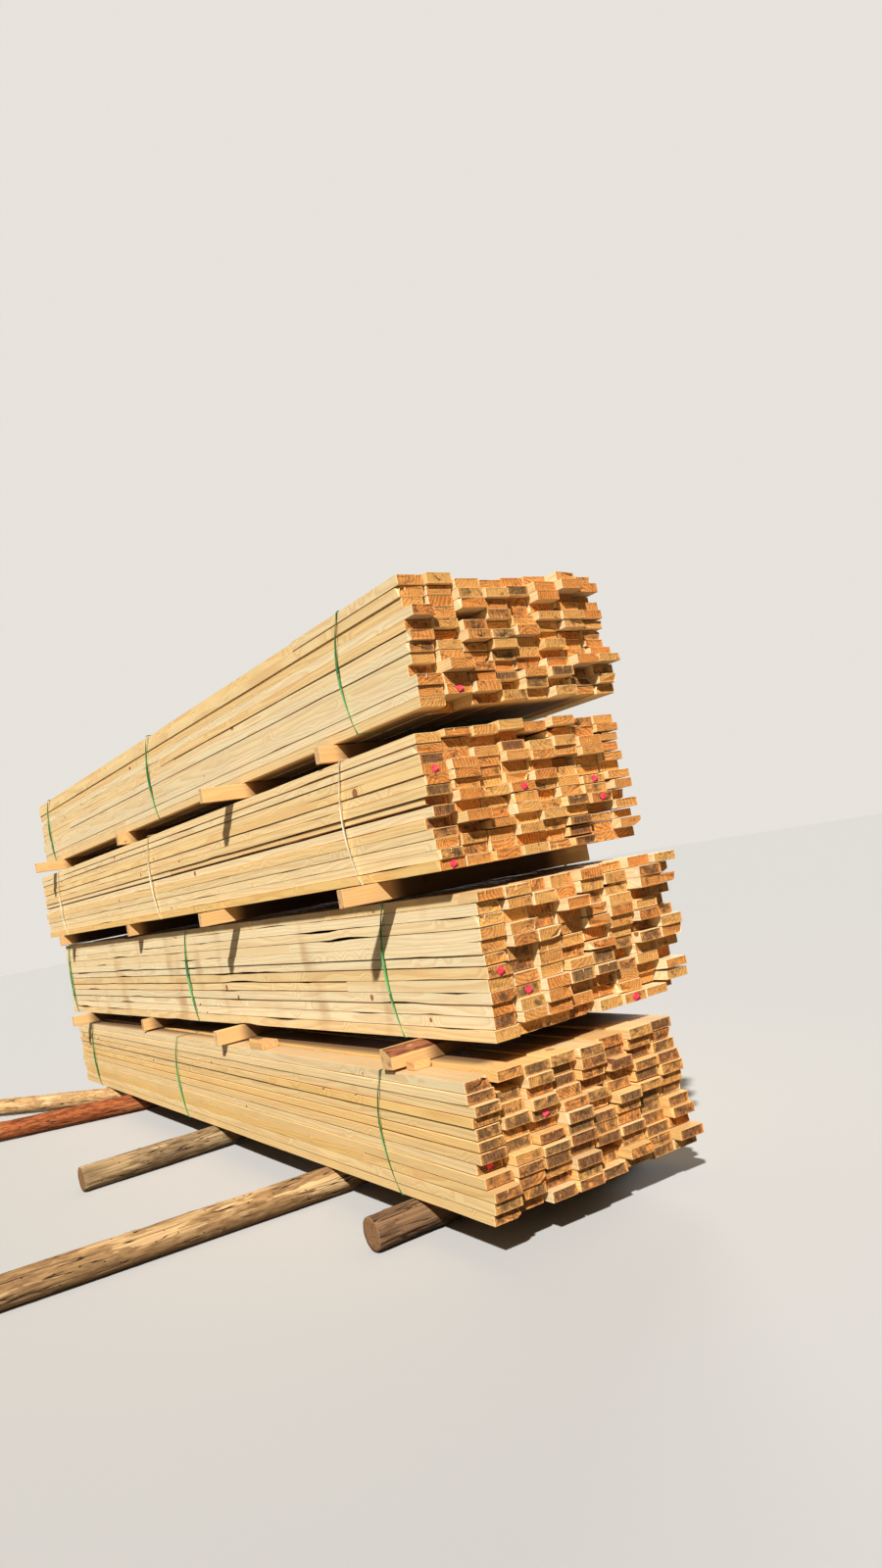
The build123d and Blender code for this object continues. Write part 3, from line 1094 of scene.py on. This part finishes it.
tag_red = tag_finish()
off_wood = 0.0005
height_of_turned_square = 1.37
for pack in packs:
    node = f"{pack}_red_tags"
    solids = solids_of(node)
    centres = [box_of(solid)[0].tolist() for solid in solids]
    mesh = bpy.data.meshes.new(node)
    mesh.from_pydata([(x + off_wood, y, z) for x, y, z in centres], [], [])
    side = float(np.mean([np.ptp(s[:, 2]) for s in solids])) / height_of_turned_square
    piece = grown(f"{pack}_tag_sheets", mesh, tag_tree, {"Side": side, "Sheet": tag_red})
    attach(piece, "root")
    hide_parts(node)
    print(piece.name, "tags:", len(solids))

# %% [markdown]
# ## Poles
# The bearers are rough trunks. Some bark is still on them, knots leave dents, long cracks
# have opened as they dried, and they are thinner at one end. A Geometry Nodes tree starts
# from a cylinder with the place and size of the CAD pole and works all of that into its
# surface. It only takes wood away, so the poles still fit under the pack. The finish reads
# the same patterns as the tree, so each colour lies where the surface has its shape.

# %% Geometry Nodes tree for a trunk
around, seed_step = 56, 11.0
spare_radius = 1.04


def trunk_marks(grain):
    """Patches of bark, the noise that cracks follow, and the distance from the next knot."""
    flakes = ramp(streaks(grain, (2.6, 13.0, 13.0), 4.0, 0.6), 0.45, 0.49)
    lines = streaks(grain, (1.6, 26.0, 26.0))
    spots = add("ShaderNodeTexVoronoi", {"Vector": scaled(grain, (4.0, 7.0, 7.0))})
    return flakes, lines, spots["Distance"]


def trunk_surface(grain):
    """How deep each thing cuts into a trunk, as shares and as parts of the radius."""
    flakes, lines, knots = trunk_marks(grain)
    return (
        (streaks(grain, (2.0, 7.0, 7.0)), 0.09),
        (maths("SUBTRACT", 1.0, flakes), 0.03),
        (thin_lines(lines, 0.03, 0.0), 0.05),
        (ramp(knots, 0.05, 0.3), 0.045),
        (streaks(grain, (22.0, 70.0, 70.0), 3.0, 0.6), 0.03),
    )


def trunk_tree():
    inputs = {"Length": 1.0, "Radius": 0.065, "Taper": 0.04, "Seed": 1.0}
    inputs |= {"Rings": 60, "Side": None, "Sawn": None}
    tree, given, result = new_tree("round_trunk", inputs)
    inputs = {"Vertices": around, "Fill Segments": 5, "Side Segments": given["Rings"]}
    inputs |= {"Radius": given["Radius"], "Depth": given["Length"]}
    stem = add("GeometryNodeMeshCylinder", inputs, fill_type="TRIANGLE_FAN")
    at = own_place(tree)
    x, y, z = parts_of(at)
    along = maths("ADD", z, times(given["Seed"], seed_step))
    inputs = {"Geometry": stem["Mesh"], "Name": "grain", "Value": joined(along, x, y)}
    marked = add("GeometryNodeStoreNamedAttribute", inputs, data_type="FLOAT_VECTOR")[0]
    upwards = maths("ADD", maths("DIVIDE", z, given["Length"]), 0.5)
    loss = times(upwards, given["Taper"])
    for share, depth in trunk_surface(named(tree, "grain", "FLOAT_VECTOR")):
        loss = times_plus(share, depth, loss)
    keep = maths("MINIMUM", maths("SUBTRACT", spare_radius, loss), 1.0)
    thinner = scaled(at, joined(keep, keep, 1.0))
    shaped = add("GeometryNodeSetPosition", {"Geometry": marked, "Position": thinner})[0]
    inputs = {"Geometry": made_real(shaped), "Material": given["Side"]}
    barked = add("GeometryNodeSetMaterial", inputs)[0]
    ends = add("FunctionNodeBooleanMath", {0: stem["Top"], 1: stem["Bottom"]}, operation="OR")
    inputs = {"Geometry": barked, "Material": given["Sawn"], "Selection": ends[0]}
    sawn = add("GeometryNodeSetMaterial", inputs)[0]
    inputs = {"Geometry": sawn, "Shade Smooth": True}
    tree.links.new(add("GeometryNodeSetShadeSmooth", inputs)[0], result)
    return tree


pole_tree = trunk_tree()
print("tree:", pole_tree.name, "with", len(pole_tree.nodes), "nodes")

# %% Finishes of the poles
def trunk_side(name, bark_dark, bark_light, bare_dark, bare_light):
    """Bark in patches over bare wood, with long cracks and dark knots."""
    material, tree, shader = new_material(name)
    grain = stored(tree, "grain")
    flakes, lines, knots = trunk_marks(grain)
    scales = streaks(grain, (16.0, 60.0, 60.0), 4.0, 0.6)
    fibres = streaks(grain, (3.0, 90.0, 90.0), 4.0, 0.6)
    patches = streaks(grain, (2.0, 8.0, 8.0), 3.0)
    bark = tint(ramp(scales, 0.36, 0.64), bark_dark, bark_light)
    bare = tint(ramp(fibres, 0.35, 0.65), bare_dark, bare_light)
    colour = coated(bare, [
        (ramp(patches, 0.56, 0.75), 1.0, bark_dark),
        (flakes, 1.0, bark),
        (thin_lines(lines, 0.016, 0.002), 1.0, (44, 30, 20)),
        (ramp(knots, 0.14, 0.08), 1.0, (70, 44, 28)),
    ])
    height = maths("ADD", scales, fibres)
    finish_with(shader, colour, ramp(scales, -1.4, 0.8), height, 0.004)
    return material


pole_colours = {  # bark in dark and light, then bare wood in dark and light
    "near_short_pole": ((88, 64, 44), (124, 92, 64), (112, 82, 56), (150, 114, 78)),
    "near_long_pole": ((134, 100, 64), (170, 132, 86), (188, 148, 98), (224, 186, 132)),
    "middle_pole": ((120, 96, 66), (154, 126, 90), (156, 126, 86), (198, 166, 120)),
    "far_red_pole": ((114, 56, 28), (172, 96, 52), (148, 80, 42), (194, 120, 68)),
    "far_pale_pole": ((170, 128, 82), (206, 164, 110), (200, 158, 104), (230, 196, 142)),
}
pole_end = pine_end(
    "pole_sawn_end", (168, 124, 82), (142, 100, 62),
    (88, 58, 34), (62, 44, 30),
)
print("pole finishes:", len(pole_colours))

# %% Five trunks
ring_gap = 0.028
pole_look = (1.0, 0.3, 0.15, 0.0)


def trunk_piece(node, seed):
    points = solids_of(node)[0]
    heading = heading_of(points)
    middle, half = box_of(turned(points, -heading))
    length, radius = float(2 * half[0]), float(half[2])
    values = {"Length": length, "Radius": radius, "Rings": round(length / ring_gap)}
    values |= {"Seed": float(seed), "Sawn": pole_end}
    values["Side"] = trunk_side(f"{node}_surface", *pole_colours[node])
    piece = grown(f"{node}_trunk", bpy.data.meshes.new(node), pole_tree, values)
    laid = Matrix.Rotation(heading, 4, "Z") @ Matrix.Translation(Vector(middle))
    mesh = piece.data
    mesh.transform(laid @ Matrix.Rotation(math.radians(90), 4, "Y"))
    look = np.tile(pole_look, (len(mesh.vertices), 1))
    set_values(mesh, "look", "FLOAT_COLOR", look, "color")
    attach(piece, "root")
    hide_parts(node)
    return piece


for seed, node in enumerate(pole_colours, 1):
    piece = trunk_piece(node, seed)
    print(piece.name, "faces:", len(piece.data.polygons))

# %% [markdown]
# ## Floor, light and camera
# The stage is a plain pale floor that runs on to a pale surround. One clear sun stands in
# front and to the right, so the spacers throw sharp shadows down the sides. A wide weak
# sun low behind lights the far side, and the surround fills the rest. Floor and surround
# are seen paler than the light they give, so the shadows stay deep under a bright ground.
# The camera stands low near one corner of the stack, with a wide lens, which makes the near
# ends large and lets the long sides run away quickly.

# %% Stage
def seen_directly(tree):
    """1 where a thing is seen by the camera or mirrored in gloss, 0 where it only gives light."""
    rays = add("ShaderNodeLightPath", tree=tree)
    seen = maths("MAXIMUM", rays["Is Camera Ray"], rays["Is Glossy Ray"])
    return maths("MAXIMUM", seen, rays["Is Transmission Ray"])


def floor_material():
    material, tree, shader = new_material("plain_floor")
    colour = tint(seen_directly(tree), (112, 109, 104), (200, 197, 192))
    tree.links.new(colour, shader.inputs["Base Color"])
    shader.inputs["Roughness"].default_value = 1.0
    shader.inputs["Specular IOR Level"].default_value = 0.0
    return material


reach = 40
square = [(-reach, -reach, 0), (reach, -reach, 0), (reach, reach, 0), (-reach, reach, 0)]
floor_mesh = bpy.data.meshes.new("floor")
floor_mesh.from_pydata(square, [], [(0, 1, 2, 3)])
floor = placed("floor", floor_mesh)
floor_mesh.materials.append(floor_material())
print("floor:", 2 * reach, "m wide")

# %% Surround and lamps
warm_white = (1.0, 0.96, 0.90, 1.0)
given_light, seen_more = 0.10, 0.70
world = bpy.data.worlds.new("surround")
bpy.context.scene.world = world
world.use_nodes = True
sky = world.node_tree
strength = times_plus(seen_directly(sky), seen_more, given_light)
backdrop = sky.nodes["Background"]
backdrop.inputs["Color"].default_value = warm_white
sky.links.new(strength, backdrop.inputs["Strength"])


def sun(name, towards, strength, width):
    """A distant lamp, its width in degrees. towards points from the stack to it."""
    lamp = bpy.data.lights.new(name, "SUN")
    lamp.energy, lamp.angle = strength, math.radians(width)
    aim = Vector(towards).to_track_quat("Z", "Y").to_euler()
    placed(name, lamp).rotation_euler = aim


sun("key", towards=(0.585, -0.49, 0.645), strength=5.15, width=2.0)
sun("back", towards=(-0.69, 0.69, 0.2), strength=2.3, width=25.0)
print("lamps:", [light.name for light in bpy.data.lights])

# %% Camera
lens = bpy.data.cameras.new("camera")
lens.lens, lens.sensor_width, lens.sensor_fit = 24.02, 36.0, "AUTO"
camera = placed("camera", lens)
stands_at = (5.71302, -2.37124, 1.28270)
right = (0.5370200, 0.8246771, -0.1775310)
up = (0.1606728, 0.1066052, 0.9812337)
back = (0.8281267, -0.5554665, -0.0752540)
standing = Matrix((right, up, back)).transposed().to_4x4()
camera.matrix_world = Matrix.Translation(stands_at) @ standing
bpy.context.scene.camera = camera
bpy.context.scene.view_settings.view_transform = "Standard"
print("camera at", [round(value, 2) for value in camera.location])
